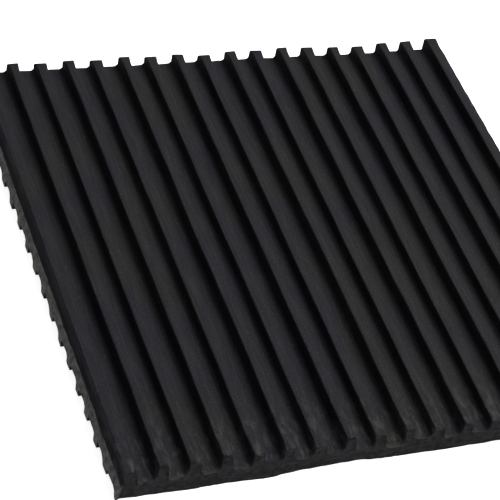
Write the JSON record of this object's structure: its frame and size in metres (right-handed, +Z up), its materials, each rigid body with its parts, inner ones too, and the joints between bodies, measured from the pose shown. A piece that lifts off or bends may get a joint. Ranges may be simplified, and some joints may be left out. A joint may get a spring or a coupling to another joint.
{
  "type": "anti-vibration rubber pad",
  "caption": "Square black rubber anti-vibration pad with straight ribs on both faces, alternately high and low, the top row at right angles to the bottom row, laid flat under a machine foot.",
  "frame": {"origin": "middle of the square, on the plane that the bottom ribs stand on", "axes": "+Z up through the thickness, +Y along the top ribs, +X along the bottom ribs"},
  "size_m": [0.1524, 0.1524, 0.0095],
  "materials": {
    "black_rubber": "matt moulded rubber"
  },
  "bodies": {
    "root": {"ribbed_pad": "black_rubber"}
  },
  "joints": []
}
